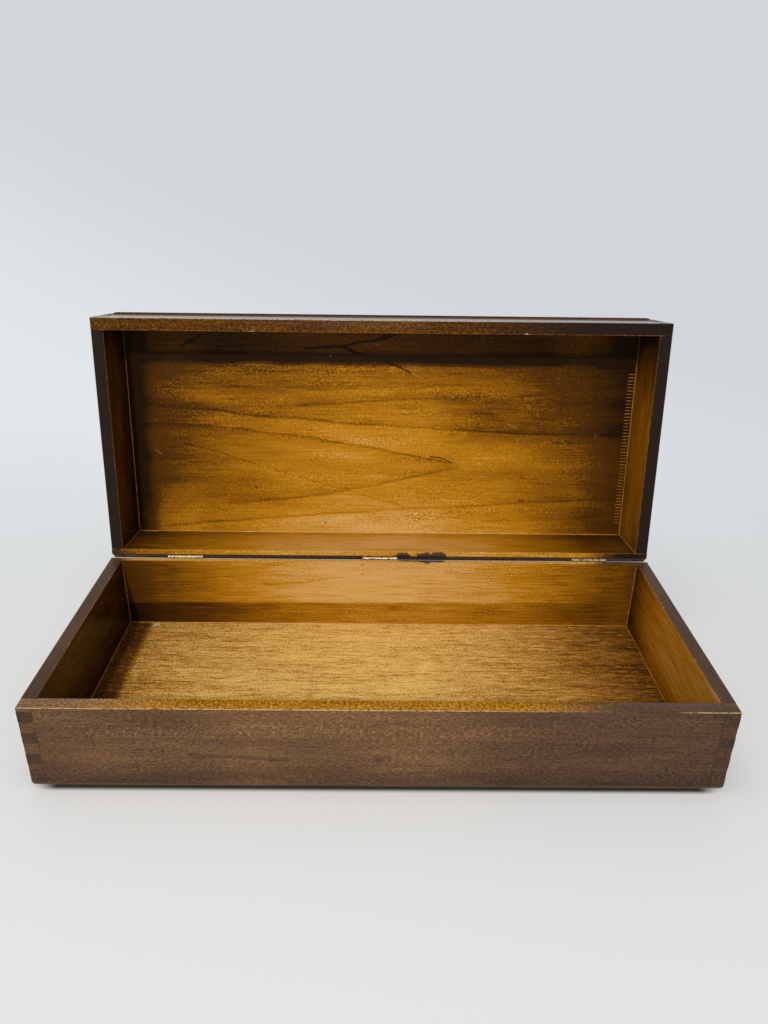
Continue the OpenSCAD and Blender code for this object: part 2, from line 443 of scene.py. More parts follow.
# Marks of the base's front: the height of its herringbone, a knot and a dark streak
HERRINGBONE_Z = 42.5
KNOT = [(-1.2, 22.9), (1.0, 22.7)]
DARK_STREAK = [(-105.0, 25.5), (-72.0, 24.0), (-52.0, 22.5)]

# Marks inside the base's back: a rising line, two dots, and a painted shadow of the front wall, a darker band that
# leans a little
RISE = [(-84.0, 38.5), (-60.0, 39.3), (-42.7, 42.8), (-33.4, 44.3), (-14.6, 45.4), (56.6, 46.6)]
HIGH_DOT = [(-13.4, 55.1), (-12.6, 55.0)]
LOW_DOT = [(-13.2, 47.4), (-12.4, 47.3)]
SHADOW_HEIGHT = 18.0
SHADOW_LEAN = 0.008

# Depth of the bumps of each kind of surface, in metres
BOARD_RELIEF = 0.00004
TOP_RELIEF = 0.00005
PLY_RELIEF = 0.00008
METAL_RELIEF = 0.00003
BEAD_RELIEF = 0.00005


class Board:
    """One board of a frame: its grain, and how far a point lies from each of its edges."""

    def __init__(self, body, side, seed):
        self.sheet = sheet = Sheet(f"{body}_{side}_wood")
        self.key = (body, side)
        self.is_long = side in ("front", "back")
        self.x, self.y, self.z = x, y, z = sheet.place(body)
        self.along, thick = (x, y) if self.is_long else (y, x)
        half, end_half = (HALF_DEP, HALF_LEN) if self.is_long else (HALF_LEN, HALF_DEP)
        sign = -1 if side in ("front", "left") else 1
        self.depth_in = half - thick * sign
        self.end_gap = end_half - abs(self.along)
        self.rim_gap = BASE_H - z if body == "base" else z - RIM_Z
        self.foot_gap = z - FLOOR_Z if body == "base" else PANEL_Z - z
        self.wood = Wood(sheet, (self.along, z, thick), seed)
        self.chips = sheet.lumps((x, y, z), seed, 1.5, 1.5, 3.0)

    def outside(self, finish):
        """Stain, with the fingers' end grain and the seams of the corner."""
        sheet, wood, x, z = self.sheet, self.wood, self.x, self.z
        home = None
        tone = 0.54
        if self.key == ("base", "front"):
            home = (z - HERRINGBONE_Z).between(-3.0, 3.0, 4.0) * x.between(-150.0, 70.0, 40.0)
            tone = tone + (x / HALF_LEN).most(0.0) * 0.14 + z.fall(4.0, 26.0) * 0.20
            tone = tone - x.between(-60.0, 20.0, 70.0) * 0.13
            tone = tone + stroke(x, z, KNOT, 2.6) * 0.35
            tone = tone + stroke(x, z + wood.streaks * 6, DARK_STREAK, 2.2) * 0.20
        tone = tone + wood.outside(home)
        end_grain = sheet.lumps(wood.grain, wood.seed + 4, 0.8, 0.6, 3.0)
        tone = tone + self.end_gap.fall(0.35, 0.5) * (end_grain * 0.4 + 0.24)
        tone = tone + (self.end_gap - BOARD_T).between(-0.3, 0.3, 0.4) * 0.10
        return stained(sheet, finish, tone)

    def inside(self, finish):
        """Varnish with painted shade, partly a sunburst finish, that deepens towards the ends, the foot and the
        inner corners.
        """
        sheet, wood, x, z = self.sheet, self.wood, self.x, self.z
        middle, left, right, foot = INSIDE[self.key]
        # painted shade towards the ends, the foot and the inner corners
        ends = burst(self.along, left, right, LONG_REACH if self.is_long else SHORT_REACH)
        shade = ends.least(0.66) + self.foot_gap.fall(3.0, 20.0) * foot
        shade = shade + (self.end_gap - BOARD_T + self.chips * 6).fall(0.0, 12.0) * 0.08
        depth = wood.inside() * (1 - shade * 0.3) + shade + middle
        if self.key == ("base", "back"):
            # painted shadow of the front wall across the foot of the back wall, and painted shade in its left
            # corner
            front_wall_shadow = (self.foot_gap - x * SHADOW_LEAN).fall(SHADOW_HEIGHT, SHADOW_HEIGHT + 1.6)
            depth = depth + front_wall_shadow * (burst(x, 0.03, -0.12) + 0.26) + x.fall(-178.0, -158.0) * 0.16
            depth = soft_limit(depth, 0.72, 0.45)
            line = stroke(x, z + wood.streaks * 3, RISE, 1.3) * x.fall(-30.0, 60.0)
            dots = stroke(x, z, HIGH_DOT, 1.5).most(stroke(x, z, LOW_DOT, 1.3))
            depth = depth + line * 0.14 + dots * 0.25
        return amber(sheet, finish, depth)

    def sawn(self, finish):
        """The rim's own colour: stained dark, and rubbed golden along the middle of the long boards."""
        sheet, wood = self.sheet, self.wood
        grit = sheet.lumps(wood.grain, wood.seed + 12, 1.7, 1.6, 2.0, 0.7)
        dark_depth, coarse = (0.62, 1.6) if self.key[0] == "base" else (1.08, 0.9)
        dark = stained(sheet, finish, grit * 0.5 + wood.streaks * 0.4 + wood.clouds * 0.3 + dark_depth)
        if self.key not in RUBBED:
            return dark
        start, stop, soft, depth = RUBBED[self.key]
        fibres = wood.streaks * 0.3 + wood.clouds * 0.3
        if self.key == ("lid", "back"):
            fibres = fibres + burst(self.x, 0.12, 0.10)
        if self.key == ("base", "front"):
            brown = stained(sheet, finish, grit * 2.0 + wood.streaks * 0.4 + 0.24)
            dark = sheet.blend(brown, dark, self.x.step(0.0, 120.0) * 0.85)
        gold = amber(sheet, finish, grit * coarse + fibres + depth)
        return sheet.blend(dark, gold, (self.x + self.chips * 30).between(start, stop, soft))

    def rim(self, finish):
        """The rim, paler along its inner edge and bare where that edge is chipped."""
        past_edge = self.depth_in - BOARD_T
        pale, bare = (0.35, 0.8) if self.is_long else (0.22, 0.25)
        inner = (past_edge + 0.55 + self.chips * 2.0).step(0.1, 0.35)
        colour = self.sheet.blend(self.sawn(finish), finish.amber_light, inner * pale)
        nick = None
        for start, stop in CHIPS.get(self.key, ()):
            spot = (self.along + self.chips * 9).between(start, stop, 0.5)
            nick = spot if nick is None else nick.most(spot)
        if nick is None:
            return colour
        nick = nick * (past_edge + 0.5 + self.chips * 5).step(0.0, 0.4)
        return self.sheet.blend(colour, finish.bare, nick * bare)

    def edge_wear_and_highlight(self, colour, finish):
        """Pales the outer edge of the rim with bare wood: partly wear where hands have rubbed it, partly a painted
        highlight.
        """
        x = self.x
        edge = self.rim_gap.fall(0.25, 0.45) * self.depth_in.fall(0.3, 0.5)
        frayed = x + self.chips * 60
        part = frayed.between(-160.0, 20.0, 30.0) if self.key[1] == "back" else frayed.fall(20.0, 150.0)
        if self.key == ("base", "front"):
            part = part.most(x.step(160.0, 170.0))
            upright = self.end_gap.fall(0.15, 0.35) * self.depth_in.fall(0.4, 0.7)
            edge = edge.most(upright * x.step(0.0, 1.0))
        share = edge * self.wood.specks.step(-0.2, 0.05) * part
        return self.sheet.blend(colour, finish.bare, share * 0.75)

    def torn(self, colour, finish):
        """Lays the dark torn patch beside the middle hinge over the colour."""
        sheet, specks = self.sheet, self.wood.specks
        tears = sheet.lumps((self.x, self.y, self.z), self.wood.seed + 7, 6.0, 5.0, 4.0, 0.7)
        ragged = self.x - 3.5 + tears * 12
        fold = self.depth_in + self.rim_gap.most(0.0) - tears * 9
        if self.key[0] == "lid":
            edge = ragged.between(9.0, 15.0, 8.0) * 5.2 + ragged.between(28.0, 42.0, 7.0) * 5.8 + 2.6
        else:
            edge = ragged.between(10.0, 42.0, 6.0) * 4.6 + ragged.between(33.0, 39.0, 5.0) * 1.2 + 2.4
        share = (edge - fold).step(-0.6, 1.2) * ragged.between(8.0, 44.0, 3.0)
        scorch = sheet.blend(finish.scorch, finish.stain_deep, specks.step(-0.05, 0.2) * 0.8)
        return sheet.blend(colour, scorch, share * 0.92)


def frame_board_material(finish, body, side, seed):
    """One board of a frame: stained outside, varnished inside with painted shade, with a rubbed rim whose outer
    edge carries a painted highlight.
    """
    board = Board(body, side, seed)
    sheet, depth_in, end_gap = board.sheet, board.depth_in, board.end_gap
    within = depth_in.step(BOARD_T - 0.2, BOARD_T - 0.05) * end_gap.step(BOARD_T - 1.2, BOARD_T - 0.4)
    colour = sheet.blend(board.outside(finish), board.inside(finish), within)
    on_rim = board.rim_gap.fall(0.05, 0.3) * depth_in.step(0.15, 0.4)
    colour = sheet.blend(colour, board.rim(finish), on_rim)
    rough = board.wood.specks * 0.25 + 0.30 + (end_gap - BOARD_T).between(-0.5, 0.5, 0.3) * 0.4
    if board.is_long:
        colour = board.edge_wear_and_highlight(colour, finish)
    if side == "back":
        colour = board.torn(colour, finish)
        # painted shade in the hinge gap, on the back boards just under the rim
        gap_shade = board.rim_gap.between(0.3, 2.0, 0.3) * depth_in.fall(0.1, 0.4)
        colour = sheet.blend(colour, finish.stain_dark, gap_shade)
        rough = rough + gap_shade * 0.5
    if (body, side) == ("lid", "front"):
        rough = rough - depth_in.fall(0.3, 0.6) * (board.z.fall(76.0, 90.0) * 0.60 - 0.40)
    if (body, side) == ("base", "back"):
        rough = rough + depth_in.fall(5.0, 7.0) * 0.35
    sheen = 0.14 if body == "base" and side != "back" else 0.06
    return sheet.finish(colour, rough, board.wood.relief(), BOARD_RELIEF, sheen)


# The flame of the lid's top board: the heights of each dark line at the left, in the middle and at
# the right, where it starts and stops, how strongly it shows, and the wash above or below it
FLAME = [
    ((-20.2, -7.0, -1.0), -176.0, 184.0, 0.95, 0.45),
    ((-6.5, 11.2, 51.5), -180.0, 46.0, 0.85, -0.45),
    ((57.3, 38.6, -7.1), -112.0, 50.0, 0.55, 0.40),
    ((73.0, 59.8, 50.3), -160.0, 184.0, 0.80, 0.25),
    ((93.0, 75.0, 63.7), 88.0, 184.0, 0.40, 0.30),
    ((-17.5, -25.0, -36.0), -56.0, 72.0, 0.45, 0.40),
    ((-32.0, -35.3, -45.0), -50.0, 56.0, 0.32, 0.30),
    ((-20.6, -21.2, -22.0), -96.0, 16.0, 0.32, 0.10),
    ((-46.0, -47.0, -50.0), -150.0, -20.0, 0.25, 0.20),
]
FLAME_REACH = 160.0

# Dark cracks and cuts in the top board: their lines, widths and strengths
CRACKS = [
    ([(9.0, -74.0), (-5.4, -69.5), (-29.9, -65.7), (-56.5, -63.0)], 1.1, 0.40),
    ([(14.0, -75.5), (7.0, -74.6), (0.0, -71.5)], 2.4, 0.45),
    ([(-29.9, -65.7), (-19.8, -60.8), (-3.8, -56.0)], 1.7, 0.55),
    ([(-3.8, -56.0), (7.3, -52.5), (21.0, -46.5)], 1.0, 0.45),
    ([(-146.4, -63.7), (-137.5, -68.7), (-131.6, -72.3)], 1.2, 0.30),
    ([(36.9, 16.3), (45.0, 17.8), (54.4, 21.1)], 0.8, 0.50),
    ([(-149.5, 6.7), (-95.0, 23.6), (-33.4, 42.0), (15.2, 55.0)], 0.8, 0.13),
    ([(-95.6, 42.0), (-94.4, 43.6)], 0.9, 0.45),
    ([(-43.2, 69.6), (-42.4, 70.4)], 0.9, 0.40),
    ([(106.0, 50.0), (109.5, 50.3)], 1.5, 0.30),
    ([(107.7, 32.5), (109.7, 32.9)], 2.6, 0.14),
    ([(129.0, 5.0), (147.6, 5.3)], 1.1, 0.14),
    ([(52.0, 25.6), (59.0, 25.2)], 3.4, 0.10),
]

# Short pale scratches in it
SCRATCHES = [
    [(49.5, -31.9), (54.0, -28.3)],
    [(94.1, -9.4), (102.5, -5.7)],
    [(115.9, -17.8), (118.3, -14.9)],
    [(-37.8, -58.0), (-37.2, -57.6)],
    [(129.8, -43.8), (130.4, -43.2)],
    [(161.0, -2.0), (162.6, 0.6)],
    [(-171.0, 13.0), (-166.0, 17.0)],
    [(22.0, -46.2), (29.4, -42.7)],
    [(-124.0, -14.2), (-123.2, -13.8)],
]


def flame(wood, wander, wobble, x):
    """How much deeper the lines of the flame and the washes beside them look."""
    rings = 0.0
    for (left, middle, right), start, stop, strength, wash in FLAME:
        bow = ((left + right) / 2 - middle) / FLAME_REACH**2
        lean = (right - left) / 2 / FLAME_REACH
        far = wander - (x * bow + lean) * x - middle
        core = far.between(-0.3, 0.3, 1.2) * (wood.specks * 0.8 + wobble)
        side = far if wash > 0 else far * -1
        soft = side.step(-9.0, 0.0) * side.fall(0.0, 1.6)
        rings = (core * strength + soft * abs(wash)) * x.between(start, stop, 12.0) + rings
    return rings


def top_board_shade(x, y, up, smoke):
    """Painted shade on the top board's varnish: deeper towards its edges and corners, partly a sunburst finish,
    and a painted shadow of the front board across its front strip.
    """
    shade = burst(x, 0.245, 0.21) + up * up * (x.step(-60.0, 60.0) * 0.07 + 0.18)
    edge_left = x + HALF_LEN - BOARD_T
    edge_right = HALF_LEN - BOARD_T - x
    edge_front = y + HALF_DEP - BOARD_T
    shade = shade + (edge_left + smoke * 12).fall(4.0, 19.0) * 0.40
    shade = shade + (edge_right + smoke * 60).fall(0.0, 44.0) * 0.14
    pale = y.between(44.0, 90.0, 10.0) * x.fall(-150.0, -125.0) * 0.16
    pale = pale + y.between(-48.0, -30.0, 14.0) * x.fall(-135.0, -90.0) * 0.12
    shade = shade - pale * x.step(-178.0, -164.0)
    central = x.between(-115.0, 110.0, 40.0)
    corner = edge_left.fall(8.0, 20.0) + edge_right.fall(8.0, 24.0)
    # painted shadow of the front board along the front strip, over the lamp's own shadow, with painted shade in
    # its corners
    strip = edge_front.step(15.0, 20.0) * 0.28 + central * (edge_front.step(17.0, 21.0) * 0.10 + 0.37)
    shade = shade + (edge_front + smoke * 5).fall(22.8, 28.5) * (strip + corner * 0.35)
    murk = y.between(-24.0, 2.0, 9.0) * x.between(62.0, 190.0, 34.0)
    low_right = y.between(70.0, 80.0, 6.0) * x.step(110.0, 150.0)
    return shade + murk * (smoke * 0.4 + 0.15) + low_right * 0.10


def top_board_material(name, finish):
    """The lid's top board: amber inside with a pointed flame and painted shade, stained outside."""
    sheet = Sheet(name)
    x, y, z = sheet.place("lid")
    wood = Wood(sheet, (x, y, z), 3.7, 1.3)
    bend = sheet.lumps((x, y, z), 8.2, 45.0, 20.0, 3.0)
    smoke = sheet.lumps((x, y, z), 5.5, 26.0, 20.0, 4.0, 0.6)
    wobble = sheet.lumps((x, y, z), 4.4, 55.0, 30.0) * 1.6 + 0.60
    rings = flame(wood, y + bend * 4 + wood.streaks * 2.2, wobble, x)
    up = ((12 - y) / 55).most(0.0).least(1.1)
    shade = top_board_shade(x, y, up, smoke)

    grain = wood.inside(up * 0.4 + 1.0, 0.26) + rings * 0.23
    depth = grain * (1 - shade.least(1.0) * 0.25) + shade + 0.255
    depth = depth - (y - x * 0.02).step(44.0, 72.0) * 0.14
    depth = soft_limit(depth, 0.78, 0.50)
    for points, width, strength in CRACKS:
        depth = depth + stroke(x + smoke * 5, y + smoke * 5, points, width) * strength
    pits = x.between(25.0, 88.0, 8.0) * (y + x * 0.115 - 68).between(-2.6, 2.6, 2.0)
    depth = depth + pits * wood.specks.step(0.02, 0.12) * 0.16
    inside = amber(sheet, finish, depth)
    for points in SCRATCHES:
        inside = sheet.blend(inside, finish.bare, stroke(x, y, points, 0.5) * 0.26)

    lip = (HALF_LEN - abs(x)).least(HALF_DEP - abs(y)).fall(2.0, 4.0)
    outside = stained(sheet, finish, wood.outside() + rings * 0.12 + lip * 0.16 + 0.52)
    edge = (HALF_LEN - BOARD_T - abs(x)).least(HALF_DEP - BOARD_T - abs(y))
    under = z.fall(PANEL_Z + 0.05, PANEL_Z + 0.3) * edge.step(-1.0, -0.5)
    colour = sheet.blend(outside, inside, under)
    return sheet.finish(colour, wood.specks * 0.3 + 0.36, wood.relief(), TOP_RELIEF, sheen=0.02)


# Marks on the plywood: a pale smear, and a pale green blob in its back left corner
SMEAR = [(35.8, 33.0), (27.9, 15.7)]
BLOB = [(-168.6, 75.4), (-166.0, 75.4)]
BLOB_GREEN = (0.50, 0.60, 0.47)


def bottom_panel_material(name, finish):
    """The plywood bottom: fine straight pores and painted shade on top, stain on its edges and below."""
    sheet = Sheet(name)
    x, y, z = sheet.place("base")
    wood = Wood(sheet, (x, y, z), 21.3)
    pores = sheet.lumps((x, y, z), 2.0, 40.0, 1.9, 2.0, 0.6)
    fine = sheet.lumps((x, y, z), 9.0, 8.0, 1.15, 2.0, 0.7)
    grit = sheet.lumps((x, y, z), 6.0, 0.95, 1.5, 2.0, 0.7) * (1.10 - x.step(40.0, 140.0) * 0.4)
    depth = pores.step(-0.04, 0.14) * 0.15 + fine * 0.85 + grit + wood.clouds * 0.3 + 0.20
    # painted shade towards the floor's ends, and a painted shadow of the left wall along its left edge
    depth = depth + burst(x, 0.12, 0.23).least(0.8)
    left_gap = x + HALF_LEN - BOARD_T
    depth = depth + (left_gap + fine * 5).fall(12.0, 20.0) * 0.42
    smear = stroke(x, y, SMEAR, 5.0) * 0.12
    tones = (finish.ply_pale, finish.ply_light, finish.ply, finish.ply_deep, finish.ply_dark)
    top = sheet.ramp(depth - smear, tones)
    blob = stroke(x, y + wood.specks * 3, BLOB, 2.0)
    top = sheet.blend(top, BLOB_GREEN, blob.step(0.2, 0.6))
    # painted shade along the very foot of the plywood edge, and a pale painted highlight in a line just above it
    grime_and_painted_light = z.fall(0.3, 0.6) * 0.4 - z.between(1.6, 2.2, 0.4)
    plain = wood.streaks * 0.8 + wood.specks * 0.5 + wood.clouds * 0.5
    under = stained(sheet, finish, plain + grime_and_painted_light + 0.55)
    inside = z.step(FLOOR_Z - 0.2, FLOOR_Z - 0.05) * (HALF_DEP - BOARD_T + 1 - abs(y)).step(0.0, 0.5)
    colour = sheet.blend(under, top, inside)
    height = pores + wood.specks * 0.6
    return sheet.finish(colour, wood.specks * 0.3 + 0.42, height, PLY_RELIEF, sheen=0.20)


TARNISH = (0.13, 0.085, 0.045)


def metal_material(name, body, tone):
    """Old metal: rubbed bright on what stands proud, browned in what lies deeper."""
    sheet = Sheet(name)
    x, y, z = sheet.place(body)
    grime_and_painted_light = sheet.lumps((x, y, z), 1.0, 1.8, 1.3, 4.0, 0.65)
    colour = sheet.blend(TARNISH, tone, grime_and_painted_light.step(-0.14, 0.04))
    return sheet.finish(colour, grime_and_painted_light * 0.4 + 0.42, grime_and_painted_light, METAL_RELIEF, sheen=0.5, metal=0.9)


def bead_material(name, finish, body, depth):
    """A thin bead of glue and varnish in a corner, or a mark that a tool left."""
    sheet = Sheet(name)
    x, y, z = sheet.place(body)
    lumps = sheet.lumps((x, y, z), 6.0, 7.0, 7.0, 3.0, 0.6)
    specks = sheet.lumps((x, y, z), 7.0, 1.2, 1.2)
    # painted shade towards the ends, and on the lid a painted shadow of the front board near its front
    far = burst(x, 0.14, 0.14)
    if body == "lid":
        far = far + y.fall(-58.0, -50.0) * 0.6
    colour = amber(sheet, finish, lumps * 0.5 + specks * 0.4 + far + depth)
    return sheet.finish(colour, specks * 0.2 + 0.32, lumps, BEAD_RELIEF, sheen=0.35)


def paint(obj, material):
    obj.data.materials.clear()
    obj.data.materials.append(material)


# How squarely a face lies along an axis, and how near a plane it lies in it, in millimetres
SQUARE = 0.9
NEAR = 0.05

# Points of a board closer than this, in metres, are one. Faces that turn less than the flat angle
# are one, and edges are eased or look sharp from theirs.
WELD = 1e-6
FLAT_ANGLE = math.radians(0.5)
EASED_ANGLE = math.radians(30)
SHARP_ANGLE = math.radians(28)


def shows(normal, centre, is_long):
    """Whether a closed box's face with this normal and centre is one that the eye can reach."""
    if abs(normal.z) > SQUARE:
        return min(abs(centre.z - BASE_H), abs(centre.z - RIM_Z)) < NEAR
    if abs(normal.x) > SQUARE:
        flush = [HALF_LEN] if is_long else [HALF_LEN, HALF_LEN - BOARD_T]
        return min(abs(abs(centre.x) - f) for f in flush) < NEAR
    if abs(normal.y) > SQUARE:
        flush = [HALF_DEP, HALF_DEP - BOARD_T] if is_long else [HALF_DEP]
        return min(abs(abs(centre.y) - f) for f in flush) < NEAR
    return True


def eased_board(node, body, is_long, ease):
    """A copy of a board whose open edges are eased, which stands for the board."""
    mesh = bmesh.new()
    mesh.from_mesh(frame["nodes"][node].data)
    bmesh.ops.remove_doubles(mesh, verts=mesh.verts, dist=WELD)
    bmesh.ops.dissolve_limit(mesh, angle_limit=FLAT_ANGLE, verts=mesh.verts, edges=mesh.edges)
    turn = closed if body == "lid" else Vector
    origin = turn(Vector())
    open_faces = set()
    for face in mesh.faces:
        normal = turn(face.normal) - origin
        centre = turn(face.calc_center_median() / MM)
        if shows(normal, centre, is_long):
            open_faces.add(face)
    edges = [
        edge for edge in mesh.edges
        if len(edge.link_faces) == 2
        and all(face in open_faces for face in edge.link_faces)
        and edge.calc_face_angle() > EASED_ANGLE
    ]
    shape = {"offset": ease, "segments": 2, "profile": 0.5, "affect": "EDGES", "clamp_overlap": True}
    bmesh.ops.bevel(mesh, geom=edges, **shape)
    data = bpy.data.meshes.new("eased_" + node)
    mesh.to_mesh(data)
    mesh.free()
    data.shade_smooth()
    data.set_sharp_from_angle(angle=SHARP_ANGLE)
    piece = bpy.data.objects.new("eased_" + node, data)
    bpy.context.scene.collection.objects.link(piece)
    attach(piece, body)
    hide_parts(node)
    return piece


def add_node(tree, kind, settings, sockets):
    """Adds a node to a geometry tree, with its settings and the values or links of its sockets."""
    node = tree.nodes.new(kind)
    for name, setting in settings.items():
        setattr(node, name, setting)
    for name, value in sockets.items():
        if isinstance(value, bpy.types.NodeSocket):
            tree.links.new(value, node.inputs[name])
        else:
            node.inputs[name].default_value = value
    return node


def start_tree(name, inputs):
    """A geometry tree whose first node has the named inputs after the geometry."""
    tree = bpy.data.node_groups.new(name, "GeometryNodeTree")
    tree.interface.new_socket("Geometry", in_out="INPUT", socket_type="NodeSocketGeometry")
    for label, kind in inputs.items():
        tree.interface.new_socket(label, in_out="INPUT", socket_type=kind)
    tree.interface.new_socket("Geometry", in_out="OUTPUT", socket_type="NodeSocketGeometry")
    return tree, tree.nodes.new("NodeGroupInput").outputs


def end_tree(tree, geometry, finish):
    """Makes the instances real, gives them their finish and closes the tree."""
    real = add_node(tree, "GeometryNodeRealizeInstances", {}, {0: geometry})
    smooth = add_node(tree, "GeometryNodeSetShadeSmooth", {}, {0: real.outputs[0]})
    painted = add_node(tree, "GeometryNodeSetMaterial", {}, {0: smooth.outputs[0], "Material": finish})
    add_node(tree, "NodeGroupOutput", {}, {0: painted.outputs[0]})
    return tree


def even_path(tree, given):
    """The given path, with a point at every given spacing."""
    curve = add_node(tree, "GeometryNodeMeshToCurve", {}, {0: given["Geometry"]})
    sockets = {0: curve.outputs[0], "Length": given["Spacing"]}
    return add_node(tree, "GeometryNodeResampleCurve", {"mode": "LENGTH"}, sockets)


def bead_tree():
    """A bead that follows a path and swells and thins along it."""
    inputs = {"Radius": "NodeSocketFloat", "Spacing": "NodeSocketFloat", "Lumps": "NodeSocketFloat"}
    tree, given = start_tree("bead_along_path", {**inputs, "Finish": "NodeSocketMaterial"})
    even = even_path(tree, given)
    noise = add_node(tree, "ShaderNodeTexNoise", {}, {"Scale": given["Lumps"], "Detail": 3.0})
    sockets = {0: noise.outputs[0], 1: 1.6, 2: 0.1}
    swell = add_node(tree, "ShaderNodeMath", {"operation": "MULTIPLY_ADD"}, sockets)
    sockets = {0: swell.outputs[0], 1: given["Radius"]}
    radius = add_node(tree, "ShaderNodeMath", {"operation": "MULTIPLY"}, sockets)
    ring = add_node(tree, "GeometryNodeCurvePrimitiveCircle", {}, {"Resolution": 7, "Radius": 1.0})
    sockets = {"Curve": even.outputs[0], "Profile Curve": ring.outputs[0]}
    sockets |= {"Scale": radius.outputs[0], "Fill Caps": True}
    tube = add_node(tree, "GeometryNodeCurveToMesh", {}, sockets)
    return end_tree(tree, tube.outputs[0], given["Finish"])


def tick_tree():
    """A row of short ridges along a path, each a little different."""
    inputs = {"Spacing": "NodeSocketFloat", "Length": "NodeSocketFloat", "Width": "NodeSocketFloat"}
    inputs |= {"Seed": "NodeSocketInt", "Finish": "NodeSocketMaterial"}
    tree, given = start_tree("ticks_along_path", inputs)
    even = even_path(tree, given)
    ball = add_node(tree, "GeometryNodeMeshUVSphere", {}, {"Segments": 8, "Rings": 5, "Radius": 0.5})
    sockets = {"X": given["Length"], "Y": given["Width"], "Z": given["Width"]}
    shape = add_node(tree, "ShaderNodeCombineXYZ", {}, sockets)
    sockets = {"Geometry": ball.outputs[0], "Scale": shape.outputs[0]}
    ridge = add_node(tree, "GeometryNodeTransform", {}, sockets)
    vary = {"Min": (0.80, 0.5, 0.18), "Max": (1.08, 1.2, 0.40), "Seed": given["Seed"]}
    size = add_node(tree, "FunctionNodeRandomValue", {"data_type": "FLOAT_VECTOR"}, vary)
    lean = {"Min": (0.0, 0.0, -0.05), "Max": (0.0, 0.0, 0.05), "Seed": given["Seed"]}
    turn = add_node(tree, "FunctionNodeRandomValue", {"data_type": "FLOAT_VECTOR"}, lean)
    sockets = {"Points": even.outputs[0], "Instance": ridge.outputs[0]}
    sockets |= {"Rotation": turn.outputs[0], "Scale": size.outputs[0]}
    row = add_node(tree, "GeometryNodeInstanceOnPoints", {}, sockets)
    return end_tree(tree, row.outputs[0], given["Finish"])


def along_paths(name, body, paths, tree, values):
    """Runs a tree over paths of the closed box, and keeps what it makes as a piece of the body."""
    verts, edges = [], []
    for path, is_loop in paths:
        first = len(verts)
        verts += [Vector(point) * MM for point in path]
        edges += [(i, i + 1) for i in range(first, len(verts) - 1)]
        if is_loop:
            edges.append((len(verts) - 1, first))
    guide_mesh = bpy.data.meshes.new(name + "_guide")
    guide_mesh.from_pydata(verts, edges, [])
    guide = bpy.data.objects.new(name + "_guide", guide_mesh)
    bpy.context.scene.collection.objects.link(guide)
    modifier = guide.modifiers.new(name, "NODES")
    modifier.node_group = tree
    for item in tree.interface.items_tree:
        if item.in_out == "INPUT" and item.name in values:
            modifier[item.identifier] = values[item.name]
    made = guide.evaluated_get(bpy.context.evaluated_depsgraph_get())
    data = bpy.data.meshes.new_from_object(made)
    data.name = name
    guide.modifiers.clear()
    bpy.data.objects.remove(guide)
    if len(data.polygons) == 0:
        raise RuntimeError(name + " came out empty")
    if body == "lid":
        turn = Matrix.Rotation(-OPEN_ANGLE, 4, "X")
        data.transform(Matrix.Translation(PIN * MM) @ turn @ Matrix.Translation(-PIN * MM))
    piece = bpy.data.objects.new(name, data)
    bpy.context.scene.collection.objects.link(piece)
    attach(piece, body)
    return piece


def corner_paths(level, rim):
    """The inner corners of the base or the lid: one loop round its panel, and its four uprights."""
    sink = 0.12
    half_x = HALF_LEN - BOARD_T - sink
    half_y = HALF_DEP - BOARD_T - sink
    inward = sink if rim > level else -sink
    corners = [(-half_x, -half_y), (half_x, -half_y), (half_x, half_y), (-half_x, half_y)]
    loop = []
    for (x0, y0), (x1, y1) in zip(corners, corners[1:] + corners[:1]):
        loop += [(x0 + (x1 - x0) * i / 4, y0 + (y1 - y0) * i / 4, level + inward) for i in range(4)]
    # each upright ends a little short of the rim
    stop = rim - 12 * inward
    uprights = [([(x, y, level + inward), (x, y, stop)], False) for x, y in corners]
    return [(loop, True), *uprights]


class BoxOperator:
    bl_options = {"REGISTER", "UNDO"}


class OBJECT_OT_box_frames(BoxOperator, bpy.types.Operator):
    """Ease and finish the four boards of the base and of the lid"""

    bl_idname = "object.box_frames"
    bl_label = "Finish the frames"

    def execute(self, context):
        finish = context.scene.box_finish
        seed = 1.0
        for body in ("base", "lid"):
            for side in ("front", "back", "left", "right"):
                node = f"{body}_{side}_board"
                piece = eased_board(node, body, side in ("front", "back"), finish.ease)
                paint(piece, frame_board_material(finish, body, side, seed))
                seed += 13.0
        return {"FINISHED"}


class OBJECT_OT_box_panels(BoxOperator, bpy.types.Operator):
    """Finish the plywood bottom and the top board"""

    bl_idname = "object.box_panels"
    bl_label = "Finish the panels"

    def execute(self, context):
        finish = context.scene.box_finish
        paint(frame["nodes"]["base_bottom_panel"], bottom_panel_material("bottom_ply", finish))
        paint(frame["nodes"]["lid_top_board"], top_board_material("top_wood", finish))
        return {"FINISHED"}


class OBJECT_OT_box_hinges(BoxOperator, bpy.types.Operator):
    """Finish the leaves, pins and screws of the hinges"""

    bl_idname = "object.box_hinges"
    bl_label = "Finish the hinges"

    def execute(self, context):
        finish = context.scene.box_finish
        steel = metal_material("pin_wire", "base", finish.steel)
        for body in ("base", "lid"):
            brass = metal_material(f"{body}_brass", body, finish.brass)
            for node in frame["record"]["behaviour"]["bodies"][body]:
                if "hinge" in node:
                    paint(frame["nodes"][node], steel if node.endswith("pin") else brass)
        return {"FINISHED"}


# A bead's rings are this far apart, in metres, and it has this many swellings in a metre
BEAD_SPACING = 0.0012
BEAD_LUMPS = 260.0


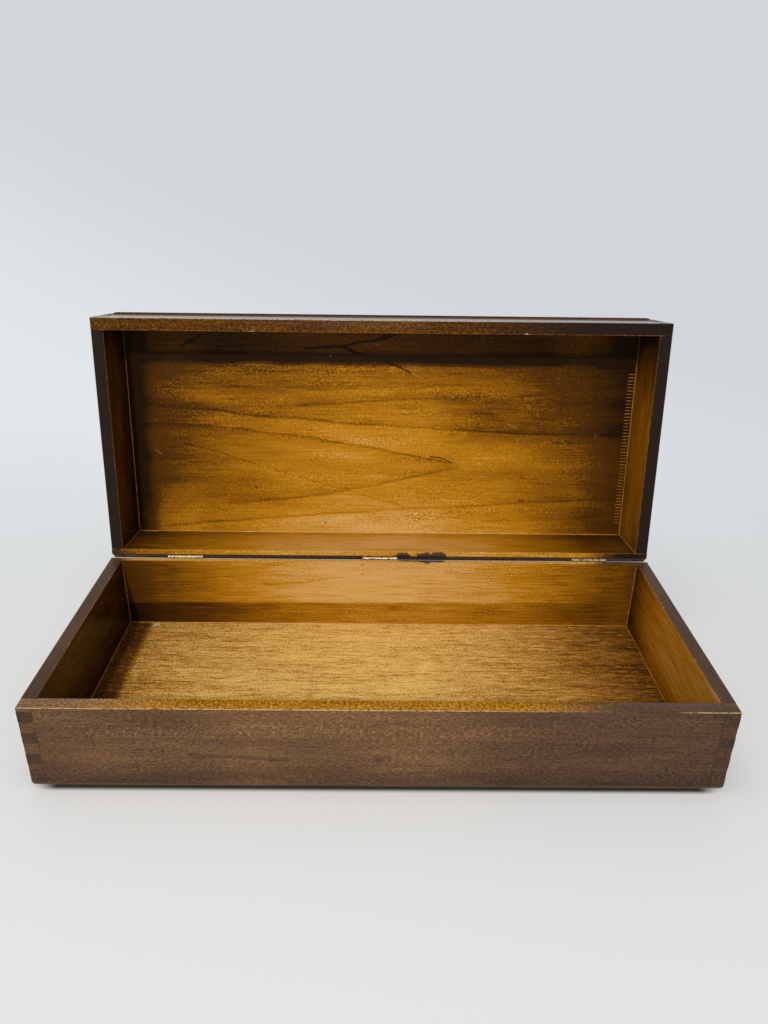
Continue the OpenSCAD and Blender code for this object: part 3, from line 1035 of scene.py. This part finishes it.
class OBJECT_OT_box_beads(BoxOperator, bpy.types.Operator):
    """Run beads of varnish along the inner corners of the base and of the lid"""

    bl_idname = "object.box_beads"
    bl_label = "Add the corner beads"

    def execute(self, context):
        finish = context.scene.box_finish
        tree = bead_tree()
        for body, level, rim, slot in (
            ("base", FLOOR_Z, BASE_H, "bottom_panel"),
            ("lid", PANEL_Z, RIM_Z, "top_board"),
        ):
            material = bead_material(f"{body}_bead_varnish", finish, body, 0.06)
            values = {"Radius": finish.bead, "Finish": material}
            values |= {"Spacing": BEAD_SPACING, "Lumps": BEAD_LUMPS}
            along_paths(f"{body}_corner_bead", body, corner_paths(level, rim), tree, values)
        return {"FINISHED"}


# Where the row of tool marks starts and ends, in millimetres, and their width, in metres
TICK_ENDS = (-47.0, 68.0)
TICK_WIDTH = 0.0009
TICK_SEED = 7


class OBJECT_OT_box_ticks(BoxOperator, bpy.types.Operator):
    """Lay the row of tool marks beside the lid's right wall"""

    bl_idname = "object.box_ticks"
    bl_label = "Add the tool marks"

    def execute(self, context):
        finish = context.scene.box_finish
        x = HALF_LEN - BOARD_T - finish.tick / MM * 0.5
        path = [(x, y, PANEL_Z) for y in TICK_ENDS]
        material = bead_material("tool_mark_wood", finish, "lid", 0.14)
        values = {"Spacing": finish.tick_step, "Length": finish.tick, "Width": TICK_WIDTH}
        values |= {"Seed": TICK_SEED, "Finish": material}
        along_paths("lid_tool_marks", "lid", [(path, False)], tick_tree(), values)
        return {"FINISHED"}


def camera(stage):
    data = bpy.data.cameras.new("camera")
    data.lens = stage.lens
    data.sensor_width = 36.0
    turn = Matrix.Rotation(stage.yaw, 4, "Z")
    turn = turn @ Matrix.Rotation(math.pi / 2 - stage.pitch, 4, "X")
    turn = turn @ Matrix.Rotation(stage.roll, 4, "Z")
    obj = bpy.data.objects.new("camera", data)
    obj.matrix_world = Matrix.Translation(stage.eye) @ turn
    bpy.context.scene.collection.objects.link(obj)
    bpy.context.scene.camera = obj


def lamp(name, towards, size, size_y, power):
    """An area lamp that shines at the box from the given offset of the box's middle."""
    aim = Vector((0, 0, 0.05))
    data = bpy.data.lights.new(name, "AREA")
    data.shape = "RECTANGLE"
    data.size = size
    data.size_y = size_y
    data.energy = power
    data.color = LAMP_WHITE
    obj = bpy.data.objects.new(name, data)
    obj.location = aim + Vector(towards)
    obj.rotation_euler = (-Vector(towards)).to_track_quat("-Z", "Y").to_euler()
    bpy.context.scene.collection.objects.link(obj)


# The shadow painted on the paper just under the box's edges, and the colours of the lamps and of the light all
# round
PAINTED_CONTACT_SHADOW = (0.03, 0.024, 0.014)
LAMP_WHITE = (1.0, 0.98, 0.95)
SKY_WHITE = (0.93, 0.96, 1.0, 1)


def backdrop(stage):
    """A paper sweep: a floor that turns up into a wall."""
    half_width, front, back, radius, top = 5.0, -3.0, 0.5, 2.4, 5.0
    profile = [(front, 0.0), (back, 0.0)]
    steps = 40
    for i in range(1, steps + 1):
        angle = math.pi / 2 * i / steps
        profile.append((back + radius * math.sin(angle), radius - radius * math.cos(angle)))
    profile.append((back + radius, top))
    mesh = bpy.data.meshes.new("backdrop")
    verts = [(side * half_width, y, z) for y, z in profile for side in (-1, 1)]
    faces = [(2 * i, 2 * i + 1, 2 * i + 3, 2 * i + 2) for i in range(len(profile) - 1)]
    mesh.from_pydata(verts, [], faces)
    mesh.shade_smooth()
    obj = bpy.data.objects.new("backdrop", mesh)
    bpy.context.scene.collection.objects.link(obj)
    sheet = Sheet("paper")
    x, y, z = sheet.place("base")
    mottle = sheet.lumps((x, y, z), 2.0, 300.0, 300.0) * 0.04
    # painted contact shadow on the paper under the box's rounded edges
    contact_shadow = (HALF_DEP + 1.2 - abs(y)).step(-0.8, 3.2) * (HALF_LEN - 1.0 - abs(x)).step(0.0, 12.0)
    shaded = sheet.blend(stage.paper_near, PAINTED_CONTACT_SHADOW, contact_shadow * 0.97)
    near = sheet.finish(shaded, mottle + 0.9, sheen=0.1)
    away = (y + z) / 1000 + mottle
    eye = sheet.add("ShaderNodeLightPath", {}, {}, "Is Camera Ray")
    mirror = sheet.add("ShaderNodeLightPath", {}, {}, "Is Glossy Ray")
    seen = eye.most(mirror) * away.step(-0.1, 0.6)
    tint = sheet.blend(stage.paper_side, stage.paper_far, (x / 1000 + away).step(0.1, 1.5))
    glow = sheet.add("ShaderNodeEmission", {}, {"Color": tint, "Strength": 1.0})
    sheet.cover(glow, seen)
    paint(obj, near)


class SCENE_OT_box_stage(BoxOperator, bpy.types.Operator):
    """Set the camera, the lamps and the paper backdrop"""

    bl_idname = "scene.box_stage"
    bl_label = "Set the stage"

    def execute(self, context):
        stage = context.scene.box_stage
        camera(stage)
        backdrop(stage)
        lamp("key", (-0.42, -2.25, 1.72), 0.10, 0.10, stage.key_power)
        lamp("low", (-0.2, -2.9, 0.62), 1.0, 0.06, stage.low_power)
        lamp("top", (-0.15, -0.25, 1.5), 1.1, 0.8, stage.top_power)
        world = bpy.data.worlds.new("studio")
        world.use_nodes = True
        light = world.node_tree.nodes["Background"]
        light.inputs["Color"].default_value = SKY_WHITE
        light.inputs["Strength"].default_value = stage.sky
        context.scene.world = world
        context.scene.view_settings.view_transform = "Standard"
        return {"FINISHED"}


class VIEW3D_PT_box(bpy.types.Panel):
    """Buttons for the pieces of the box and its stage"""

    bl_label = "Storage box"
    bl_space_type = "VIEW_3D"
    bl_region_type = "UI"
    bl_category = "Box"

    def draw(self, context):
        for group in (context.scene.box_finish, context.scene.box_stage):
            for name in group.bl_rna.properties.keys():
                if name not in ("rna_type", "name"):
                    self.layout.prop(group, name)
        for step in STEPS:
            self.layout.operator(step.bl_idname)


STEPS = [
    SCENE_OT_box_stage,
    OBJECT_OT_box_frames,
    OBJECT_OT_box_panels,
    OBJECT_OT_box_hinges,
    OBJECT_OT_box_beads,
    OBJECT_OT_box_ticks,
]
CLASSES = [BoxFinish, BoxStage, *STEPS, VIEW3D_PT_box]


def register():
    for cls in CLASSES:
        bpy.utils.register_class(cls)
    bpy.types.Scene.box_finish = bpy.props.PointerProperty(type=BoxFinish)
    bpy.types.Scene.box_stage = bpy.props.PointerProperty(type=BoxStage)


def unregister():
    del bpy.types.Scene.box_stage
    del bpy.types.Scene.box_finish
    for cls in reversed(CLASSES):
        bpy.utils.unregister_class(cls)


def main():
    register()
    bpy.ops.scene.box_stage()
    bpy.ops.object.box_frames()
    bpy.ops.object.box_panels()
    bpy.ops.object.box_hinges()
    bpy.ops.object.box_beads()
    bpy.ops.object.box_ticks()


if __name__ == "__main__":
    main()
